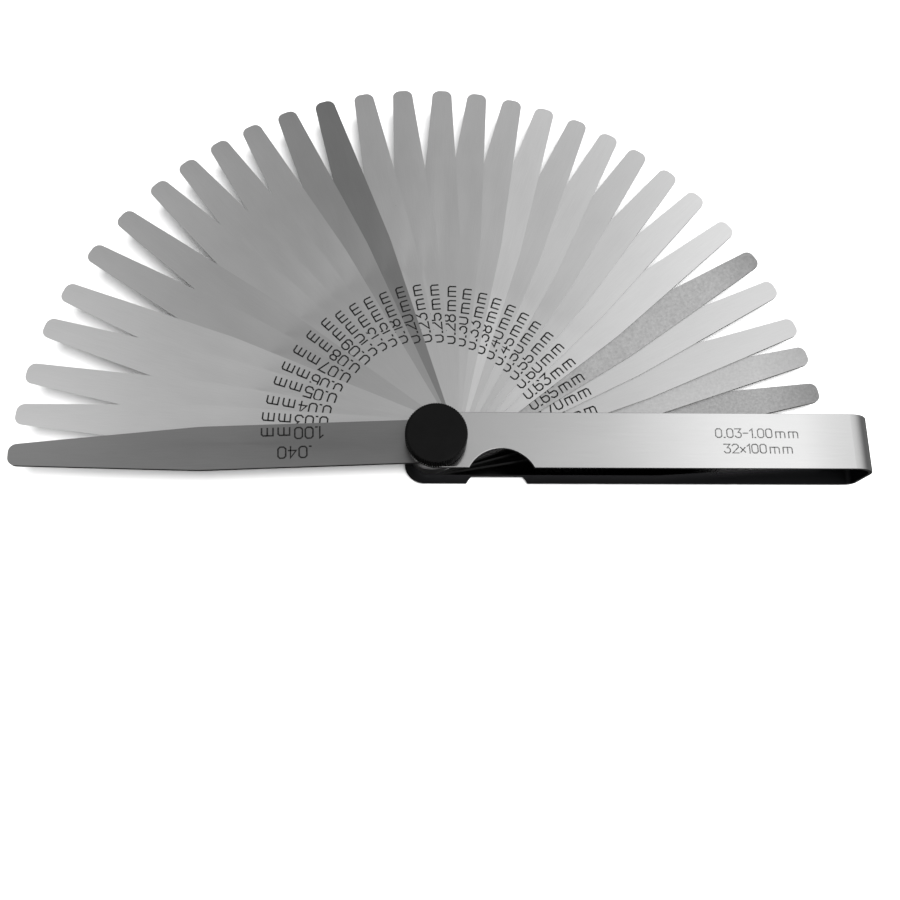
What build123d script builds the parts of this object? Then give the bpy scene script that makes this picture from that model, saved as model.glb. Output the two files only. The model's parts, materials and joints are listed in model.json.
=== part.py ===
"""Feeler gauge: a fan of thirty-two steel thickness blades on one locking pivot, in a folded steel case.

Frame, in millimetres: the pivot axis is Z, the case points along +X, and Z = 0 is the underside of the
pivot screw's head, which the gauge stands on. The blades are fanned out over the +Y side.
"""

from build123d import *
import math
import os

# ---- Driving dimensions ---------------------------------------------------------------------------------

# Case: one strip folded into a U, with both leaves bored for the pivot at the open end.
STRIP = 0.8  # thickness of the folded strip
CASE_WIDTH = 12.8  # width of the strip, across the blades
CASE_END = 99.0  # pivot axis to the outside of the fold
CASE_NOSE = 7.1  # pivot axis to the rounded end of the lower leaf; the upper one is round about the pivot
NOSE_RADIUS = 4.6  # corner radius of the lower leaf's end, in plan
LOWER_BEND = 2.0  # outside radius of the fold's bend into the lower leaf
UPPER_BEND = 5.6  # and into the upper leaf
EDGE_BREAK = 0.15  # rounding of the strip's outer long edges
NOTCH_CENTRE = 14.5  # finger notch: distance from the pivot
NOTCH_CHORD = 14.4  # its width at the leaf's edge
NOTCH_DEPTH = 4.4  # how far it cuts into the leaf

# Blades, from the top of the stack down. The thick first leaf shields the foils under it.
THICKNESSES = (
    [1.00]
    + [0.03, 0.04, 0.05, 0.06, 0.07, 0.08, 0.09, 0.10, 0.13, 0.15, 0.18, 0.20, 0.23, 0.25, 0.28]
    + [0.30, 0.33, 0.38, 0.40, 0.45, 0.50, 0.55, 0.60, 0.63, 0.65, 0.70, 0.75, 0.80, 0.85, 0.90, 0.95]
)
# How far each blade is swung out of the case, in degrees. A hand spreads a fan unevenly, and the two
# lowest blades stay in the case.
SWING = (
    [182.3, 176.3, 170.2, 163.1, 157.2, 150.1, 143.2, 136.3, 130.8, 125.1, 119.5, 113.6, 107.5, 101.3]
    + [95.2, 89.0, 83.5, 77.9, 72.6, 67.1, 61.7, 56.5, 50.7, 45.1, 38.5, 32.3, 26.8, 20.2, 15.5, 9.7]
    + [0.0, 0.0]
)
FILM = 0.012  # air or oil film between neighbouring blades
BLADE_REACH = 93.3  # pivot axis to the tip
BLADE_WIDTH = 9.9
TAPER_START = 52.0  # pivot axis to where the taper begins
TIP_WIDTH = 4.7  # width that the taper runs out to at the tip
TIP_RADIUS = 1.85
TAPER_RADIUS = 40.0  # softening of the taper's shoulder
ROOT_CENTRE = 1.0  # the round root is centred this far behind the pivot
BLADE_BORE = 5.7

# Pivot screw: low round head under the case, square neck in the lower leaf, plain shank, threaded end.
HEAD_DIAMETER = 9.6
HEAD_HEIGHT = 1.2
HEAD_ROUND = 0.6
NECK_SQUARE = 5.6
NECK_HOLE = 5.7  # square hole in the lower leaf
SHANK_DIAMETER = 5.6
SHANK_HOLE = 5.8  # round hole in the upper leaf
THREAD_DIAMETER = 5.0
THREAD_RUNNING_GAP = 0.04  # radial gap between the screw's end and the insert
THREAD_REACH = 4.0  # how far the screw stands above the upper leaf
SHANK_STEP_BELOW_TOP = 0.1  # the shank ends this far under the upper leaf's top
SCREW_CHAMFER = 0.4  # at the end of the thread

# Conical spring washer under the knob.
WASHER_OUTER = 10.6
WASHER_INNER = 5.4
WASHER_STRIP = 0.35
WASHER_CONE = 0.15  # rise of the cone from rim to bore

# Locking knob: a knurled moulded cap on a threaded brass insert.
KNOB_DIAMETER = 13.7
KNOB_TOP_ABOVE_CASE = 5.3
KNOB_FACE_DIAMETER = 11.8  # flat top face inside the rounded rim
KNOB_BEVEL_DROP = 0.7  # height of the rounded rim
KNOB_BEVEL_FLAT = 0.3  # how far its middle stays back from a sharp corner, as a share of rim and drop
KNURL_COUNT = 78
KNURL_DEPTH = 0.28
KNURL_OVERHANG = 0.6  # share of the depth by which the centre of a groove's cutter lies outside the rim
KNURL_LAND = 0.35  # plain band at the knob's foot
KNOB_FOOT_DIAMETER = 12.6
INSERT_DIAMETER = 8.0
INSERT_HEIGHT = 3.6
INSERT_FLANGE = 0.5  # plain collar of the insert under its grip rings

# ---- Heights worked out from them -----------------------------------------------------------------------

STACK = sum(THICKNESSES) + FILM * (len(THICKNESSES) + 1)
LEAF_BOTTOM = HEAD_HEIGHT  # underside of the case
STACK_BOTTOM = LEAF_BOTTOM + STRIP
STACK_TOP = STACK_BOTTOM + STACK
CASE_TOP = STACK_TOP + STRIP
CASE_HEIGHT = CASE_TOP - LEAF_BOTTOM
WASHER_TOP = CASE_TOP + WASHER_STRIP + WASHER_CONE
KNOB_TOP = CASE_TOP + KNOB_TOP_ABOVE_CASE
HALF_WIDTH = CASE_WIDTH / 2
NOTCH_RADIUS = ((NOTCH_CHORD / 2) ** 2 + NOTCH_DEPTH**2) / (2 * NOTCH_DEPTH)

os.makedirs("parts", exist_ok=True)


def save(part, name):
    """Labels a finished piece and writes it as its own STEP file."""
    part.label = name
    export_step(part, f"parts/{name}.step")


def blade_name(thickness):
    """Node name of a blade, such as blade_0_03mm."""
    return f"blade_{thickness:.2f}mm".replace(".", "_")


# ---- Case -----------------------------------------------------------------------------------------------


def make_case():
    """The strip: a U in side view, cut to its plan outline, then notched and bored."""
    outside = (CASE_END, LEAF_BOTTOM, CASE_TOP, (LOWER_BEND, UPPER_BEND), Mode.ADD)
    inner_bends = (LOWER_BEND - STRIP, UPPER_BEND - STRIP)
    inside = (CASE_END - STRIP, STACK_BOTTOM, STACK_TOP, inner_bends, Mode.SUBTRACT)
    with BuildPart() as case:
        with BuildSketch(Plane.XZ):
            for end, floor, roof, bends, mode in (outside, inside):
                with BuildLine():
                    FilletPolyline(
                        (-CASE_NOSE, floor), (end, floor), (end, roof), (-CASE_NOSE, roof), radius=bends
                    )
                    Line((-CASE_NOSE, roof), (-CASE_NOSE, floor))
                make_face(mode=mode)
        extrude(amount=HALF_WIDTH, both=True)
        with BuildSketch(Plane.XY.offset(LEAF_BOTTOM)) as plan:
            with Locations((-CASE_NOSE, 0)):
                Rectangle(CASE_END + CASE_NOSE, CASE_WIDTH, align=(Align.MIN, Align.CENTER))
            fillet(plan.vertices().group_by(Axis.X)[0], NOSE_RADIUS)
            with Locations((NOTCH_CENTRE, -HALF_WIDTH - NOTCH_RADIUS + NOTCH_DEPTH)):
                Circle(NOTCH_RADIUS, mode=Mode.SUBTRACT)
        extrude(amount=CASE_HEIGHT, mode=Mode.INTERSECT)
        with BuildSketch(Plane.XY.offset(LEAF_BOTTOM)):
            Rectangle(NECK_HOLE, NECK_HOLE)
        extrude(amount=STRIP, mode=Mode.SUBTRACT)
        with BuildSketch(Plane.XY.offset(STACK_TOP)):
            Rectangle(CASE_NOSE, CASE_WIDTH, align=(Align.MAX, Align.CENTER))
            Circle(HALF_WIDTH, mode=Mode.SUBTRACT)
            Circle(SHANK_HOLE / 2)
        extrude(amount=STRIP, mode=Mode.SUBTRACT)
        top_edges = case.faces().sort_by(Axis.Z)[-1].outer_wire().edges()
        fillet(top_edges.filter_by(lambda e: (e @ 0.5).X < CASE_END - 2 * UPPER_BEND), EDGE_BREAK)
    return case.part


# ---- Blades ---------------------------------------------------------------------------------------------


def make_blade(thickness, swing, floor):
    """One blade, lying at height floor and swung out of the case by swing degrees."""
    turn = math.radians(swing)
    half, tip = BLADE_WIDTH / 2, TIP_WIDTH / 2
    side = Plane(origin=(0, 0, floor), x_dir=(math.cos(turn), math.sin(turn), 0), z_dir=(0, 0, 1))
    with BuildPart() as blade:
        with BuildSketch(side):
            with BuildLine():
                FilletPolyline(
                    (-ROOT_CENTRE, half),
                    (TAPER_START, half),
                    (BLADE_REACH, tip),
                    (BLADE_REACH, -tip),
                    (TAPER_START, -half),
                    (-ROOT_CENTRE, -half),
                    radius=(TAPER_RADIUS, TIP_RADIUS, TIP_RADIUS, TAPER_RADIUS),
                )
                ThreePointArc((-ROOT_CENTRE, -half), (-ROOT_CENTRE - half, 0), (-ROOT_CENTRE, half))
            make_face()
            Circle(BLADE_BORE / 2, mode=Mode.SUBTRACT)
        extrude(amount=thickness)
    return blade.part


# ---- Pivot screw ----------------------------------------------------------------------------------------


def make_pivot_screw():
    """Round head, square neck that the lower leaf holds still, shank for the blades, threaded end."""
    with BuildPart() as screw:
        with BuildSketch():
            Circle(HEAD_DIAMETER / 2)
        extrude(amount=HEAD_HEIGHT)
        fillet(screw.edges().group_by(Axis.Z)[0], HEAD_ROUND)
        with BuildSketch(Plane.XY.offset(LEAF_BOTTOM)):
            Rectangle(NECK_SQUARE, NECK_SQUARE)
        extrude(amount=STRIP)
        with BuildSketch(Plane.XY.offset(STACK_BOTTOM)):
            Circle(SHANK_DIAMETER / 2)
        extrude(amount=STACK + STRIP - SHANK_STEP_BELOW_TOP)
        with BuildSketch(Plane.XY.offset(CASE_TOP - SHANK_STEP_BELOW_TOP)):
            Circle(THREAD_DIAMETER / 2)
        extrude(amount=THREAD_REACH + SHANK_STEP_BELOW_TOP)
        chamfer(screw.edges().group_by(Axis.Z)[-1], SCREW_CHAMFER)
    return screw.part


# ---- Spring washer --------------------------------------------------------------------------------------


def make_spring_washer():
    """A dished ring: its rim stands on the case, and its bore edge meets the insert."""
    outer, inner = WASHER_OUTER / 2, WASHER_INNER / 2
    with BuildPart() as washer:
        with BuildSketch(Plane.XZ):
            with BuildLine():
                Polyline(
                    (outer, CASE_TOP),
                    (outer, CASE_TOP + WASHER_STRIP),
                    (inner, WASHER_TOP),
                    (inner, WASHER_TOP - WASHER_STRIP),
                    close=True,
                )
            make_face()
        revolve(axis=Axis.Z)
    return washer.part


# ---- Locking knob ---------------------------------------------------------------------------------------


def make_lock_knob():
    """Moulded cap: rounded rim, straight knurl, and a blind pocket for the insert."""
    rim, face, foot = KNOB_DIAMETER / 2, KNOB_FACE_DIAMETER / 2, KNOB_FOOT_DIAMETER / 2
    shoulder = KNOB_TOP - KNOB_BEVEL_DROP
    land_top = WASHER_TOP + KNURL_LAND
    bevel = rim - face
    with BuildPart() as knob:
        with BuildSketch(Plane.XZ):
            with BuildLine():
                Polyline(
                    (0, KNOB_TOP),
                    (0, WASHER_TOP),
                    (foot, WASHER_TOP),
                    (foot, land_top),
                    (rim, land_top + (rim - foot) / 2),
                    (rim, shoulder),
                )
                ThreePointArc(
                    (rim, shoulder),
                    (rim - bevel * KNOB_BEVEL_FLAT, KNOB_TOP - KNOB_BEVEL_DROP * KNOB_BEVEL_FLAT),
                    (face, KNOB_TOP),
                )
                Line((face, KNOB_TOP), (0, KNOB_TOP))
            make_face()
        revolve(axis=Axis.Z)
        with BuildSketch(Plane.XY.offset(WASHER_TOP)):
            with PolarLocations(rim + KNURL_DEPTH * KNURL_OVERHANG, KNURL_COUNT):
                RegularPolygon(KNURL_DEPTH * (1 + KNURL_OVERHANG), 4)
        extrude(amount=KNOB_TOP - WASHER_TOP, mode=Mode.SUBTRACT)
        with BuildSketch(Plane.XY.offset(WASHER_TOP)):
            Circle(INSERT_DIAMETER / 2)
        extrude(amount=INSERT_HEIGHT, mode=Mode.SUBTRACT)
    return knob.part


def make_knob_insert():
    """Brass insert moulded into the cap, with two grip grooves round it and the screw's bore through it."""
    outer = INSERT_DIAMETER / 2
    grip = (INSERT_HEIGHT - INSERT_FLANGE) / 4
    with BuildPart() as insert:
        with BuildSketch(Plane.XY.offset(WASHER_TOP)):
            Circle(outer)
            Circle(THREAD_DIAMETER / 2 + THREAD_RUNNING_GAP, mode=Mode.SUBTRACT)
        extrude(amount=INSERT_HEIGHT)
        for ring in (1, 3):
            with BuildSketch(Plane.XY.offset(WASHER_TOP + INSERT_FLANGE + (ring - 1) * grip)):
                Circle(outer + grip)
                Circle(outer - grip / 2, mode=Mode.SUBTRACT)
            extrude(amount=grip, mode=Mode.SUBTRACT)
    return insert.part


# ---- Build and write every piece ------------------------------------------------------------------------

save(make_case(), "case")
save(make_pivot_screw(), "pivot_screw")
save(make_spring_washer(), "spring_washer")
save(make_lock_knob(), "lock_knob")
save(make_knob_insert(), "knob_insert")

blade_top = STACK_TOP - FILM
for blade_thickness, blade_swing in zip(THICKNESSES, SWING):
    blade_floor = blade_top - blade_thickness
    save(make_blade(blade_thickness, blade_swing, blade_floor), blade_name(blade_thickness))
    blade_top = blade_floor - FILM
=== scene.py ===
"""Looks of the feeler gauge: steel finishes, engraved thickness marks, camera, floor and studio light.

Lengths are in metres, in the CAD model's frame: pivot axis on Z, case along +X, floor at Z = 0.
"""

import json
import math

import bmesh
import bpy
from mathutils import Matrix, Quaternion, Vector


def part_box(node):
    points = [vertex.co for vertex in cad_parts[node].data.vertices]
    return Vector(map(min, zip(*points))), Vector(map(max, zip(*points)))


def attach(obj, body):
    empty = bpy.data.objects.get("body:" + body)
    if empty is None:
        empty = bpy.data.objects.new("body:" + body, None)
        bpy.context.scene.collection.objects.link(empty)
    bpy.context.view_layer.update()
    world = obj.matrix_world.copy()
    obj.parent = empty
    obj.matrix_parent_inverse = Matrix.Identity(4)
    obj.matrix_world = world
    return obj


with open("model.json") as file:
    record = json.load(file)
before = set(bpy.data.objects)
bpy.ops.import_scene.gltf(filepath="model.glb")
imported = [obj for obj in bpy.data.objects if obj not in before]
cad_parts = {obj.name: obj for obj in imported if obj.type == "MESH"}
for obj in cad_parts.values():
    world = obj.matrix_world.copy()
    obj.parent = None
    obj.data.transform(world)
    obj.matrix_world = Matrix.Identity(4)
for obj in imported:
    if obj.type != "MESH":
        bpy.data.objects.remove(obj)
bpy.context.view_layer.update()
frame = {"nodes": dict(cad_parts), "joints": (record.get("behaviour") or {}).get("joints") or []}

MM = 0.001

# ---- Camera: near the object, a little towards the case's open side, and rolled in the hand --------------

CAMERA_AT = Vector((-3.19, -60.37, 212.05)) * MM
CAMERA_AIM = Vector((3.32, -0.17, 8.0)) * MM
CAMERA_ROLL = math.radians(6.15)
CAMERA_LENS = 37.18  # millimetres, on a 36 mm sensor
CAMERA_CLIP = 0.01

# ---- Floor and studio light ------------------------------------------------------------------------------

FLOOR_SIZE = 3.0
FLOOR_COLOUR = (0.9, 0.9, 0.9, 1)
# Brightness of the studio's roof by the sideways part of the direction, from -1 (left) to 1 (right): a dim
# middle over the camera, a screen on the left and a brighter one on the right.
STUDIO_LEFT_TO_RIGHT = (
    (-1.0, 0.1),
    (-0.72, 0.2),
    (-0.5, 1.1),
    (-0.36, 0.98),
    (-0.14, 0.48),
    (0.03, 0.53),
    (0.12, 0.63),
    (0.19, 0.78),
    (0.28, 1.12),
    (0.35, 1.36),
    (0.45, 1.08),
    (0.6, 0.88),
    (0.8, 0.6),
    (1.0, 0.5),
)
ROOF_FULL = 0.65  # upward part of the direction from which the roof is at full strength
ROOF_GONE = -0.1  # and where it has faded out
FLOOR_GLOW = 0.03  # share of the roof's brightness that is left below that
REAR_DIM = 0.72  # share that is left towards the rear left
REAR_DIM_SLANT = 0.4  # how far the dim part of the roof reaches round to the left
REAR_DIM_FROM = 0.42
REAR_DIM_TO = 0.64
# The same for the light in front. It stands low: by the upward part of the direction, it comes up over the
# span FRONT_FOOT and fades over the span FRONT_TOP.
FRONT_LEFT_TO_RIGHT = (
    (-1.0, 0.6),
    (-0.2, 0.6),
    (0.34, 1.1),
    (0.56, 0.8),
    (0.8, 0.8),
    (1.0, 0.6),
)
FRONT_FULL = -0.65  # backward part of the direction from which it is at full strength
FRONT_GONE = -0.35
FRONT_FOOT = (0.05, 0.25)
FRONT_TOP = (0.35, 0.5)
RIGHT_GLOW = 0.15  # light from far right, at every height
RIGHT_GLOW_FROM = 0.5
RIGHT_GLOW_TO = 0.8
KEY_AT = Vector((0.09, -0.11, 0.78))
KEY_SIZE = 0.3
KEY_POWER = 9.0  # watts

# ---- Tones and textures ----------------------------------------------------------------------------------

# Tone of the blades' steel: most of them, then painted reflection: darker and brighter ones
# for how much light each blade catches at its angle. The frosted ones are also duller in their own finish.
STEEL_TONE = 0.66
BLADE_SHEEN_TONES = {"1_00": 0.25, "0_18": 0.47, "0_20": 0.32, "0_65": 0.57, "0_80": 0.6, "0_85": 0.52}
BLADE_SHEEN_TONES |= dict.fromkeys(("0_07", "0_08"), 0.54) | dict.fromkeys(("0_09", "0_10", "0_13", "0_15"), 0.6)
BLADE_SHEEN_TONES |= dict.fromkeys(("0_33", "0_40", "0_55"), 0.69) | dict.fromkeys(("0_45", "0_60", "0_63"), 0.74)
BLADE_SHEEN_TONES |= {"0_38": 0.82, "0_75": 0.63}
BLADE_FROST = {"0_65": 0.45, "0_80": 0.25, "0_85": 0.5}  # from 0, ground bright, to 1
# Painted shade on the lowest blades, in and by the case: nearly black from the pivot out to this radius.
BLADE_PAINTED_SHADE = {"0_80": 20 * MM, "0_85": 26 * MM, "0_90": 60 * MM, "0_95": 60 * MM}
PAINTED_SHADE_FADE = 8 * MM  # width over which the painted shade fades out
NO_PAINTED_SHADE = -PAINTED_SHADE_FADE  # radius for a blade with no painted shade at all
# Tone of the painted shade.
PAINTED_SHADE_TONE = 0.03
PAINTED_SHADE_SMOOTHS = 0.6  # share of a blade's roughness that is left under the painted shade
EDGE_TONE = 0.5  # of a blade's cut edges
GLINT_EDGE_TONE = 0.8  # brighter, for painted glints on the cut edges of a blade shaded beyond its marks
FLAT = (0.55, 0.85)  # upward part of a normal: cut edges lie below it, faces above it
TIP_DARKER_FROM = 80 * MM
TIP_DARKER_TO = 93 * MM
TIP_DARKENING = 0.7  # how much darker the tip gets, for full frost
BLADE_BRUSHED = 0.45  # anisotropy along the grain
BLADE_ROUGH = (0.25, 0.34)
FROST_ROUGHENS = (0.25, 0.3)  # added to that by full frost
CHROME_TONE = 0.67
CHROME_ROUGH = (0.13, 0.2)
INSIDE_PAINTED_SHADE = (0.03, 0.03, 0.032, 1)  # painted shade, inside the folded strip
INSIDE_ROUGH = 0.5
INSIDE_MARGIN = -0.2 * MM  # keeps the strip's cut edges, which face neither up nor down, out of its inside
FOLD_FROM = 90 * MM  # the inner side of the fold is beyond this, and faces back along the case
FOLD_FACING = -0.3
BOW_FROM = 81 * MM
BOW_TO = 93 * MM
BOW_LEAN = 0.055  # how far the case's faces lean outwards where the fold starts
GRAIN_DEPTH = 0.004 * MM
TEXTURE_DEPTH = 0.01 * MM
NOISE_BODY = (0.3, 0.7)  # the part of a noise's range that most of its values fall in
SPECK_BODY = (0.32, 0.68)
DOT_BODY = (0.38, 0.62)
ZINC = (0.55, 0.56, 0.57)
SPRING_STEEL = (0.2, 0.2, 0.21)
BRASS = (0.72, 0.52, 0.25)
KNOB_TONE = (0.002, 0.004)
KNOB_ROUGH = (0.38, 0.55)
MARK_ROUGH = (0.5, 0.7)
WORN = 0.82  # tone of a turned part's dull patches, against its bright ones

# ---- Engraved marks --------------------------------------------------------------------------------------

TEXT_UNIT = 0.42 * MM
TEXT_STROKE = 0.36 * MM
TEXT_CENTRE = 31.7 * MM
TEXT_BASELINE = -4.0 * MM
INCH_CENTRE = 31.2 * MM
INCH_BASELINE = 0.4 * MM
CASE_TEXT_UNIT = 0.335 * MM
CASE_TEXT_STROKE = 0.27 * MM
CASE_TEXT_CENTRE = 71.7 * MM
CASE_LINES = (("0.03-1.00mm", 0.7 * MM), ("32x100mm", -2.9 * MM))
MARK_SINK = 0.003 * MM  # how far a mark reaches into the steel
MARK_PROUD = 0.004 * MM  # burr that stands above it, thinner than the film between two blades
DIGIT_GAP = 1.5  # grid units between strokes of neighbouring characters
LETTER_GAP = 2.7  # grid units in front of an "m"
# Single-stroke characters on a grid: width, then the strokes. Digits are 6 units high.
GLYPHS = {
    "0": (4, [[(1, 0), (3, 0), (4, 1), (4, 5), (3, 6), (1, 6), (0, 5), (0, 1), (1, 0)]]),
    "1": (1.6, [[(0, 4.7), (1.6, 6), (1.6, 0)]]),
    "2": (4, [[(0, 5), (1, 6), (3, 6), (4, 5), (4, 3.8), (0, 0), (4, 0)]]),
    "3": (4, [[(0, 6), (4, 6), (2, 3.6), (3, 3.6), (4, 2.6), (4, 1), (3, 0), (1, 0), (0, 1)]]),
    "4": (4, [[(3, 0), (3, 6), (0, 2), (4, 2)]]),
    "5": (4, [[(4, 6), (0, 6), (0, 3.5), (3, 3.5), (4, 2.5), (4, 1), (3, 0), (1, 0), (0, 1)]]),
    "6": (
        4,
        [[(4, 5), (3, 6), (1, 6), (0, 5), (0, 1), (1, 0), (3, 0), (4, 1), (4, 2.5), (3, 3.5), (0.4, 3.5)]],
    ),
    "7": (4, [[(0, 6), (4, 6), (1.4, 0)]]),
    "8": (
        4,
        [
            [(1, 3.2), (3, 3.2), (4, 2.2), (4, 1), (3, 0), (1, 0), (0, 1), (0, 2.2), (1, 3.2)],
            [(0.9, 3.5), (0.2, 4.3), (0.2, 5.2), (1, 6), (3, 6), (3.8, 5.2), (3.8, 4.3), (3.1, 3.5)],
        ],
    ),
    "9": (
        4,
        [[(0, 1), (1, 0), (3, 0), (4, 1), (4, 5), (3, 6), (1, 6), (0, 5), (0, 3.5), (1, 2.5), (3.6, 2.5)]],
    ),
    ".": (0.6, [[(0, 0), (0.6, 0)]]),
    "-": (3, [[(0, 3), (3, 3)]]),
    "x": (3, [[(0, 0.6), (3, 3.8)], [(0, 3.8), (1.3, 2.4)], [(1.7, 2.0), (3, 0.6)]]),
    "m": (6, [[(0, 0), (0, 4), (5.2, 4), (6, 3.2), (6, 0)], [(3, 0), (3, 3.6)]]),
    " ": (2.4, []),
}


# ---- Node helpers ----------------------------------------------------------------------------------------


class Nodes:
    """Short calls for building a node tree. An operand is another node's output or a number."""

    def __init__(self, tree):
        self.tree = tree

    def node(self, kind, **settings):
        """Adds a node. Settings are its properties."""
        made = self.tree.nodes.new(kind)
        for key, value in settings.items():
            setattr(made, key, value)
        return made

    def join(self, output, socket):
        """Links an output to an input socket."""
        self.tree.links.new(output, socket)

    def split(self, vector):
        """The three parts of a vector."""
        parts = self.node("ShaderNodeSeparateXYZ")
        self.join(vector, parts.inputs[0])
        return parts.outputs[0], parts.outputs[1], parts.outputs[2]

    def place(self, turn=0.0, stretch=(1, 1, 1)):
        """Object coordinates turned about the pivot by turn, then stretched."""
        where = self.node("ShaderNodeTexCoord")
        turned = self.node("ShaderNodeMapping")
        turned.inputs["Rotation"].default_value = (0, 0, -turn)
        stretched = self.node("ShaderNodeMapping")
        stretched.inputs["Scale"].default_value = stretch
        self.join(where.outputs["Object"], turned.inputs["Vector"])
        self.join(turned.outputs["Vector"], stretched.inputs["Vector"])
        return stretched.outputs["Vector"]

    def noise(self, vector, scale, detail, rough=0.55):
        """A noise value from 0 to 1."""
        made = self.node("ShaderNodeTexNoise")
        made.inputs["Scale"].default_value = scale
        made.inputs["Detail"].default_value = detail
        made.inputs["Roughness"].default_value = rough
        self.join(vector, made.inputs["Vector"])
        return made.outputs["Fac"]

    def math(self, operation, first, second):
        """One math node."""
        made = self.node("ShaderNodeMath", operation=operation)
        for socket, value in zip(made.inputs, (first, second)):
            if isinstance(value, (int, float)):
                socket.default_value = value
            else:
                self.join(value, socket)
        return made.outputs[0]

    def product(self, *factors):
        """All the factors multiplied together."""
        total = factors[0]
        for factor in factors[1:]:
            total = self.math("MULTIPLY", total, factor)
        return total

    def span(self, value, low, high, start=0.0, end=1.0, ease="LINEAR"):
        """Maps value from start..end to low..high, held at the ends."""
        made = self.node("ShaderNodeMapRange", interpolation_type=ease)
        made.inputs["From Min"].default_value = start
        made.inputs["From Max"].default_value = end
        made.inputs["To Min"].default_value = low
        made.inputs["To Max"].default_value = high
        self.join(value, made.inputs["Value"])
        return made.outputs["Result"]

    def blend(self, factor, first, second):
        """Mixes two colours. Each is an output or a tuple."""
        made = self.node("ShaderNodeMix", data_type="RGBA")
        self.join(factor, made.inputs[0])
        for socket, value in ((made.inputs[6], first), (made.inputs[7], second)):
            if isinstance(value, tuple):
                socket.default_value = value
            else:
                self.join(value, socket)
        return made.outputs[2]

    def grey(self, value):
        """A grey colour from a value."""
        made = self.node("ShaderNodeCombineColor")
        for socket in made.inputs:
            self.join(value, socket)
        return made.outputs["Color"]

    def curve(self, value, points):
        """Value, from -1 to 1, put through a smooth curve."""
        made = self.node("ShaderNodeFloatCurve")
        made.mapping.use_clip = False
        curve = made.mapping.curves[0]
        while len(curve.points) < len(points):
            curve.points.new(0.5, 0.5)
        for point, (at, level) in zip(curve.points, points):
            point.location = ((at + 1) / 2, level)
        made.mapping.update()
        self.join(self.span(value, 0, 1, -1, 1), made.inputs["Value"])
        return made.outputs[0]


class Shader(Nodes):
    """A material under construction."""

    def __init__(self, name):
        self.material = bpy.data.materials.new(name)
        self.material.use_nodes = True
        super().__init__(self.material.node_tree)
        self.surface = self.tree.nodes["Principled BSDF"]

    def set(self, **values):
        """Sets constants on the surface's own sockets. Underscores in a name stand for spaces."""
        for key, value in values.items():
            self.surface.inputs[key.replace("_", " ")].default_value = value

    def bump(self, height, strength, distance):
        """Bends the surface's normal by a height. Returns the node."""
        made = self.node("ShaderNodeBump")
        made.inputs["Strength"].default_value = strength
        made.inputs["Distance"].default_value = distance
        self.join(height, made.inputs["Height"])
        self.join(made.outputs["Normal"], self.surface.inputs["Normal"])
        return made

    def lean(self, amount):
        """The surface's normal, leaning towards +X by amount."""
        towards = self.node("ShaderNodeCombineXYZ")
        self.join(amount, towards.inputs["X"])
        leaning = self.node("ShaderNodeVectorMath", operation="ADD")
        self.join(self.node("ShaderNodeTexCoord").outputs["Normal"], leaning.inputs[0])
        self.join(towards.outputs["Vector"], leaning.inputs[1])
        unit = self.node("ShaderNodeVectorMath", operation="NORMALIZE")
        self.join(leaning.outputs["Vector"], unit.inputs[0])
        world = self.node("ShaderNodeVectorTransform", vector_type="NORMAL")
        world.convert_from, world.convert_to = "OBJECT", "WORLD"
        self.join(unit.outputs["Vector"], world.inputs["Vector"])
        return world.outputs["Vector"]

    def flatness(self):
        """1 on faces that look up or down, 0 on the cut edges round them."""
        up = self.split(self.node("ShaderNodeTexCoord").outputs["Normal"])[2]
        return self.span(self.math("ABSOLUTE", up, 0), 0, 1, *FLAT)


def wear(node_name, material):
    """Gives a CAD node its material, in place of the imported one."""
    slots = frame["nodes"][node_name].data.materials
    slots.clear()
    slots.append(material)


# ---- Finishes --------------------------------------------------------------------------------------------


def blade_finish(name, tone, frost, shade_reach, swing):
    """Ground spring steel, with grain along the blade, and plain cut edges. frost roughens and mottles it,
    and makes it darker towards its tip. Painted shade makes it nearly black from the pivot out to the given
    radius."""
    # Cut edges of a blade shaded past its marks get a brighter tone: painted glints.
    edge = GLINT_EDGE_TONE if shade_reach > TEXT_CENTRE else EDGE_TONE
    look = Shader(name)
    look.set(Metallic=1.0, Anisotropic=BLADE_BRUSHED)
    grain = look.noise(look.place(swing, stretch=(0.04, 1.6, 1)), scale=5200, detail=3)
    cloud = look.noise(look.place(swing, stretch=(0.35, 1, 1)), scale=110, detail=3)
    speck = look.noise(look.place(swing), scale=1500, detail=5, rough=0.7)
    shade = look.product(
        look.span(grain, 0.97, 1.025, *NOISE_BODY),
        look.span(cloud, 0.955, 1.035, *NOISE_BODY),
        look.span(speck, 1 - 0.4 * frost, 1 + 0.28 * frost, *SPECK_BODY),
    )
    reach = look.node("ShaderNodeVectorMath", operation="LENGTH")
    look.join(look.place(), reach.inputs[0])
    radius = reach.outputs["Value"]
    dull = look.span(radius, 1, 1 - TIP_DARKENING * frost, TIP_DARKER_FROM, TIP_DARKER_TO)
    # Painted shade: nearly black from the pivot out to the given radius, fading out beyond it.
    painted_shade = look.span(radius, 1, 0, shade_reach, shade_reach + PAINTED_SHADE_FADE)
    unshaded_colour = look.grey(look.product(shade, tone, dull))
    face = look.blend(painted_shade, unshaded_colour, (PAINTED_SHADE_TONE, PAINTED_SHADE_TONE, PAINTED_SHADE_TONE, 1))
    look.join(look.blend(look.flatness(), (edge, edge, edge, 1), face), look.surface.inputs["Base Color"])
    low_rough, high_rough = (rough + more * frost for rough, more in zip(BLADE_ROUGH, FROST_ROUGHENS))
    unshaded_rough = look.span(cloud, low_rough, high_rough)
    look.join(look.product(unshaded_rough, look.span(painted_shade, 1, PAINTED_SHADE_SMOOTHS)), look.surface.inputs["Roughness"])
    tangent = look.node("ShaderNodeTangent", direction_type="RADIAL", axis="Z")
    look.join(tangent.outputs[0], look.surface.inputs["Tangent"])
    height = look.math("ADD", grain, look.math("MULTIPLY", speck, frost * 2))
    look.bump(height, 0.1 + 0.2 * frost, GRAIN_DEPTH)
    return look.material


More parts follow.
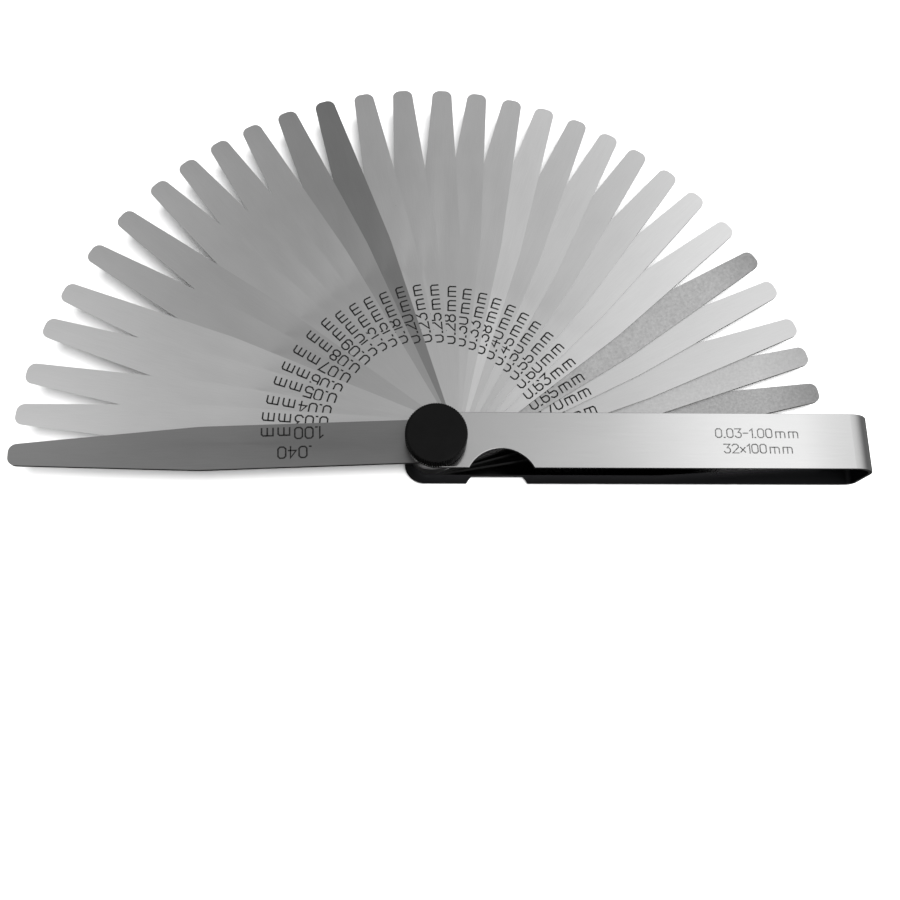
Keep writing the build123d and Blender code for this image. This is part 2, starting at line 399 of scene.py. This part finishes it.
def case_finish():
    """Bright satin chrome outside, a little bowed next to the fold. The inside of the folded strip is
    painted
    nearly black: painted shade."""
    look = Shader("satin_chrome")
    look.set(Metallic=1.0)
    low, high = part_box("case")
    where = look.node("ShaderNodeTexCoord")
    facing_along, _, facing_up = look.split(where.outputs["Normal"])
    along, _, up = look.split(where.outputs["Object"])
    above_middle = look.math("SUBTRACT", up, (low[2] + high[2]) / 2)
    in_gap = look.math("LESS_THAN", look.product(facing_up, above_middle), INSIDE_MARGIN)
    facing_back = look.math("LESS_THAN", facing_along, FOLD_FACING)
    in_fold = look.product(facing_back, look.math("GREATER_THAN", along, FOLD_FROM))
    inside = look.math("MAXIMUM", in_gap, in_fold)
    grain = look.noise(look.place(stretch=(0.05, 1, 1)), scale=2600, detail=3)
    cloud = look.noise(look.place(stretch=(0.6, 1, 1)), scale=60, detail=3)
    shade = look.product(
        look.span(grain, 0.985, 1.01, *NOISE_BODY),
        look.span(cloud, 0.97, 1.02, *NOISE_BODY),
        CHROME_TONE,
    )
    # Painted shade: the inside of the folded strip is nearly black.
    look.join(look.blend(inside, look.grey(shade), INSIDE_PAINTED_SHADE), look.surface.inputs["Base Color"])
    rough = look.math("MAXIMUM", look.span(cloud, *CHROME_ROUGH), look.product(inside, INSIDE_ROUGH))
    look.join(rough, look.surface.inputs["Roughness"])
    fine = look.bump(grain, 0.05, GRAIN_DEPTH)
    look.join(look.lean(look.span(along, 0, BOW_LEAN, BOW_FROM, BOW_TO)), fine.inputs["Normal"])
    return look.material


def knob_finish():
    """Matt black moulded plastic with a fine sparked texture."""
    look = Shader("black_moulding")
    look.set(IOR=1.45, Specular_IOR_Level=0.08)
    texture = look.noise(look.place(), scale=4200, detail=4)
    cloud = look.noise(look.place(), scale=260, detail=2)
    look.join(look.grey(look.span(cloud, *KNOB_TONE)), look.surface.inputs["Base Color"])
    look.join(look.span(texture, *KNOB_ROUGH), look.surface.inputs["Roughness"])
    look.bump(texture, 0.25, TEXTURE_DEPTH)
    return look.material


def turned_finish(name, colour, low_rough, high_rough):
    """Machined metal with rings round the pivot."""
    look = Shader(name)
    look.set(Metallic=1.0)
    rings = look.node("ShaderNodeTexWave", wave_type="RINGS", rings_direction="Z")
    rings.inputs["Scale"].default_value = 900
    rings.inputs["Distortion"].default_value = 1.5
    look.join(look.place(), rings.inputs["Vector"])
    cloud = look.noise(look.place(), scale=420, detail=3)
    dull = tuple(part * WORN for part in colour)
    look.join(look.blend(cloud, colour + (1,), dull + (1,)), look.surface.inputs["Base Color"])
    look.join(look.span(cloud, low_rough, high_rough), look.surface.inputs["Roughness"])
    look.bump(rings.outputs["Fac"], 0.15, TEXTURE_DEPTH)
    return look.material


def mark_finish(name, dark, light):
    """Electro-etched marks: dull, and uneven like a row of struck dots."""
    look = Shader(name)
    look.set(Specular_IOR_Level=0.05)
    dots = look.noise(look.place(), scale=4200, detail=2)
    look.join(look.grey(look.span(dots, dark, light, *DOT_BODY)), look.surface.inputs["Base Color"])
    look.join(look.span(dots, *MARK_ROUGH), look.surface.inputs["Roughness"])
    return look.material


# ---- Engraving -------------------------------------------------------------------------------------------


def ribbon(mesh, points, width, low, high, place):
    """Adds one closed flat stroke along points to a bmesh. The ends are square, the corners mitred."""
    closed = points[0] == points[-1]
    line = [Vector(p) for p in (points[:-1] if closed else points)]
    count = len(line)
    rows = []
    for i, here in enumerate(line):
        before = line[i - 1] if closed or i > 0 else None
        after = line[(i + 1) % count] if closed or i < count - 1 else None
        into = (here - before).normalized() if before else (after - here).normalized()
        out = (after - here).normalized() if after else into
        side = (into + out).normalized().orthogonal()
        side *= width / 2 / max(0.5, side.dot(into.orthogonal()))
        cap = Vector((0, 0))
        if before is None:
            cap = -out * width / 2
        elif after is None:
            cap = into * width / 2
        rows.append(
            [
                mesh.verts.new(place(here + cap + side * sign, height))
                for sign, height in ((1, high), (-1, high), (-1, low), (1, low))
            ]
        )
    for i in range(count if closed else count - 1):
        here, there = rows[i], rows[(i + 1) % count]
        for corner in range(4):
            following = (corner + 1) % 4
            mesh.faces.new((here[corner], here[following], there[following], there[corner]))
    if not closed:
        mesh.faces.new(rows[0][::-1])
        mesh.faces.new(rows[-1])


def gap_before(letter):
    """Space in front of a character, in grid units."""
    return LETTER_GAP if letter == "m" else DIGIT_GAP


def text_width(text):
    """Width of a text in grid units."""
    width = 0
    for i, letter in enumerate(text):
        width += GLYPHS[letter][0] + (gap_before(letter) if i else 0)
    return width


def engrave(name, node_name, body, lines, unit, stroke, material, turn=0.0):
    """Engraves lines of text on a node's top face. Each line is (text, centre along, baseline across),
    in metres, in the node's own direction turned by turn."""
    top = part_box(node_name)[1][2]
    spin = Matrix.Rotation(turn, 2)
    mesh = bmesh.new()

    def place(point, height):
        flat = spin @ Vector((point.x, point.y))
        return (flat.x, flat.y, height)

    for text, centre, baseline in lines:
        pen = centre - text_width(text) * unit / 2
        for i, letter in enumerate(text):
            pen += gap_before(letter) * unit if i else 0
            width, strokes = GLYPHS[letter]
            for path in strokes:
                points = [(pen + x * unit, baseline + y * unit) for x, y in path]
                ribbon(mesh, points, stroke, top - MARK_SINK, top + MARK_PROUD, place)
            pen += width * unit
    bmesh.ops.recalc_face_normals(mesh, faces=mesh.faces)
    data = bpy.data.meshes.new(name)
    mesh.to_mesh(data)
    mesh.free()
    data.materials.append(material)
    marks = bpy.data.objects.new(name, data)
    bpy.context.collection.objects.link(marks)
    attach(marks, body)


# ---- Making it all ---------------------------------------------------------------------------------------


def dress_blades():
    """Each blade gets its own finish and its thickness, engraved beside its middle line."""
    etched = mark_finish("etched_mark", 0.003, 0.02)
    # Marks in the painted shade are painted nearly black as well.
    mark_in_shade = mark_finish("painted_shade_mark", 0.0, 0.001)
    hinges = [joint for joint in frame["joints"] if joint["type"] == "hinge"]
    swings = {joint["child"]: -math.radians(joint["range_deg"][0]) for joint in hinges}
    for node_name in sorted(name for name in frame["nodes"] if name.startswith("blade_")):
        size = node_name.removeprefix("blade_").removesuffix("mm")
        body = f"leaf_{size}mm"
        swing = swings[body]
        # For many blades a painted reflection tone, set by how the blade catches the light at its angle.
        tone = BLADE_SHEEN_TONES.get(size, STEEL_TONE)
        frost = BLADE_FROST.get(size, 0.0)
        shade_reach = BLADE_PAINTED_SHADE.get(size, NO_PAINTED_SHADE)
        wear(node_name, blade_finish(f"blade_steel_{size}", tone, frost, shade_reach, swing))
        mark = mark_in_shade if shade_reach > TEXT_CENTRE else etched
        value = size.replace("_", ".")
        lines = [(f"{value}mm", TEXT_CENTRE, TEXT_BASELINE)]
        if value == "1.00":
            lines.append((".040", INCH_CENTRE, INCH_BASELINE))
        engrave(
            f"marks_{size}mm", node_name, body, lines, TEXT_UNIT, TEXT_STROKE, mark, swing
        )


def dress_hardware():
    """The case with its marks, the knob, and what is on the pivot."""
    wear("case", case_finish())
    lines = [(text, CASE_TEXT_CENTRE, baseline) for text, baseline in CASE_LINES]
    faint = mark_finish("struck_mark", 0.03, 0.16)
    engrave(
        "marks_case", "case", "body_case", lines, CASE_TEXT_UNIT, CASE_TEXT_STROKE, faint
    )
    wear("lock_knob", knob_finish())
    wear("pivot_screw", turned_finish("zinc_steel", ZINC, 0.25, 0.4))
    wear("spring_washer", turned_finish("spring_steel", SPRING_STEEL, 0.3, 0.45))
    wear("knob_insert", turned_finish("brass", BRASS, 0.22, 0.38))


def set_camera():
    """The camera, held close over the fan."""
    camera = bpy.data.objects.new("camera", bpy.data.cameras.new("camera"))
    camera.data.lens = CAMERA_LENS
    camera.data.clip_start = CAMERA_CLIP
    aimed = (CAMERA_AIM - CAMERA_AT).to_track_quat("-Z", "Y")
    camera.rotation_mode = "QUATERNION"
    camera.rotation_quaternion = aimed @ Quaternion((0, 0, 1), CAMERA_ROLL)
    camera.location = CAMERA_AT
    bpy.context.collection.objects.link(camera)
    bpy.context.scene.camera = camera


def set_floor():
    """A plain pale floor."""
    mesh = bmesh.new()
    bmesh.ops.create_grid(mesh, x_segments=1, y_segments=1, size=FLOOR_SIZE / 2)
    data = bpy.data.meshes.new("floor")
    mesh.to_mesh(data)
    mesh.free()
    floor = bpy.data.objects.new("floor", data)
    bpy.context.collection.objects.link(floor)
    look = Shader("pale_floor")
    look.set(Base_Color=FLOOR_COLOUR, Roughness=0.9, Specular_IOR_Level=0.1)
    data.materials.append(look.material)
    floor.visible_glossy = False


def set_light():
    """A roof of light, brighter left and right, a low light in front, and a lamp that casts the shadows."""
    world = bpy.data.worlds.new("studio")
    world.use_nodes = True
    bpy.context.scene.world = world
    sky = Nodes(world.node_tree)
    side, back, up = sky.split(sky.node("ShaderNodeTexCoord").outputs["Generated"])
    rear_left = sky.math("SUBTRACT", back, sky.product(side, REAR_DIM_SLANT))
    roof = sky.product(
        sky.curve(side, STUDIO_LEFT_TO_RIGHT),
        sky.span(up, FLOOR_GLOW, 1, ROOF_GONE, ROOF_FULL, "SMOOTHSTEP"),
        sky.span(rear_left, 1, REAR_DIM, REAR_DIM_FROM, REAR_DIM_TO),
    )
    front = sky.product(
        sky.span(back, 1, 0, FRONT_FULL, FRONT_GONE, "SMOOTHSTEP"),
        sky.span(up, 0, 1, *FRONT_FOOT),
        sky.span(up, 1, 0, *FRONT_TOP),
        sky.curve(side, FRONT_LEFT_TO_RIGHT),
    )
    glow = sky.span(side, 0, RIGHT_GLOW, RIGHT_GLOW_FROM, RIGHT_GLOW_TO)
    background = world.node_tree.nodes["Background"]
    background.inputs["Color"].default_value = (1, 1, 1, 1)
    sky.join(sky.math("ADD", sky.math("ADD", roof, front), glow), background.inputs["Strength"])

    key = bpy.data.objects.new("key", bpy.data.lights.new("key", "AREA"))
    key.data.shape = "DISK"
    key.data.size = KEY_SIZE
    key.data.energy = KEY_POWER
    key.location = KEY_AT
    key.visible_glossy = False
    bpy.context.collection.objects.link(key)
    bpy.context.scene.view_settings.view_transform = "Standard"


set_camera()
set_floor()
set_light()
dress_blades()
dress_hardware()
